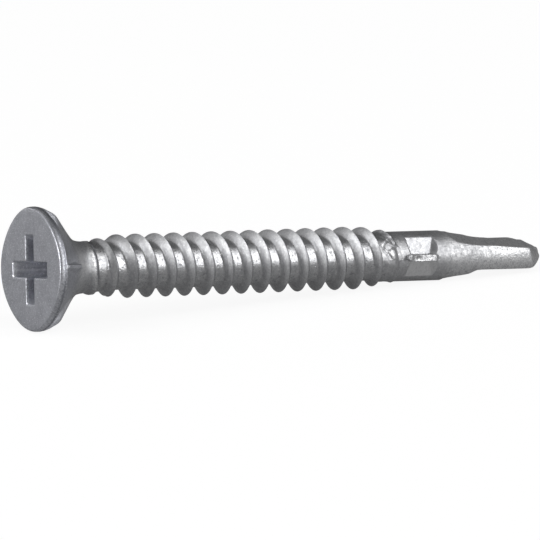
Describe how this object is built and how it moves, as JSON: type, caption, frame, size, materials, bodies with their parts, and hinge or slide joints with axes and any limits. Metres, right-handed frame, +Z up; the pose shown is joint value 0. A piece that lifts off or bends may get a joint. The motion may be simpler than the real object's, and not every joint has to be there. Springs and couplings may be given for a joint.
{
  "type": "winged self drilling screw",
  "caption": "Self drilling screw with a ribbed flat countersunk head, cross recess, coarse thread, wings on the plain shank and a fluted drill point.",
  "frame": {"origin": "centre of the bounding box's base, on the surface the screw lies on", "axes": "+X runs along the screw toward its drill point, which dips 4.5 degrees; +Y across it, +Z up; it lies on the rim of the head and the end of the plain shank, with the wings about level"},
  "size_m": [0.0438, 0.009, 0.009],
  "materials": {
    "coated_steel": "silver-grey metal flake coating on hardened steel, matt on the head's face and worn brighter along edges and crests"
  },
  "bodies": {
    "root": {"screw": "coated_steel"}
  },
  "joints": []
}
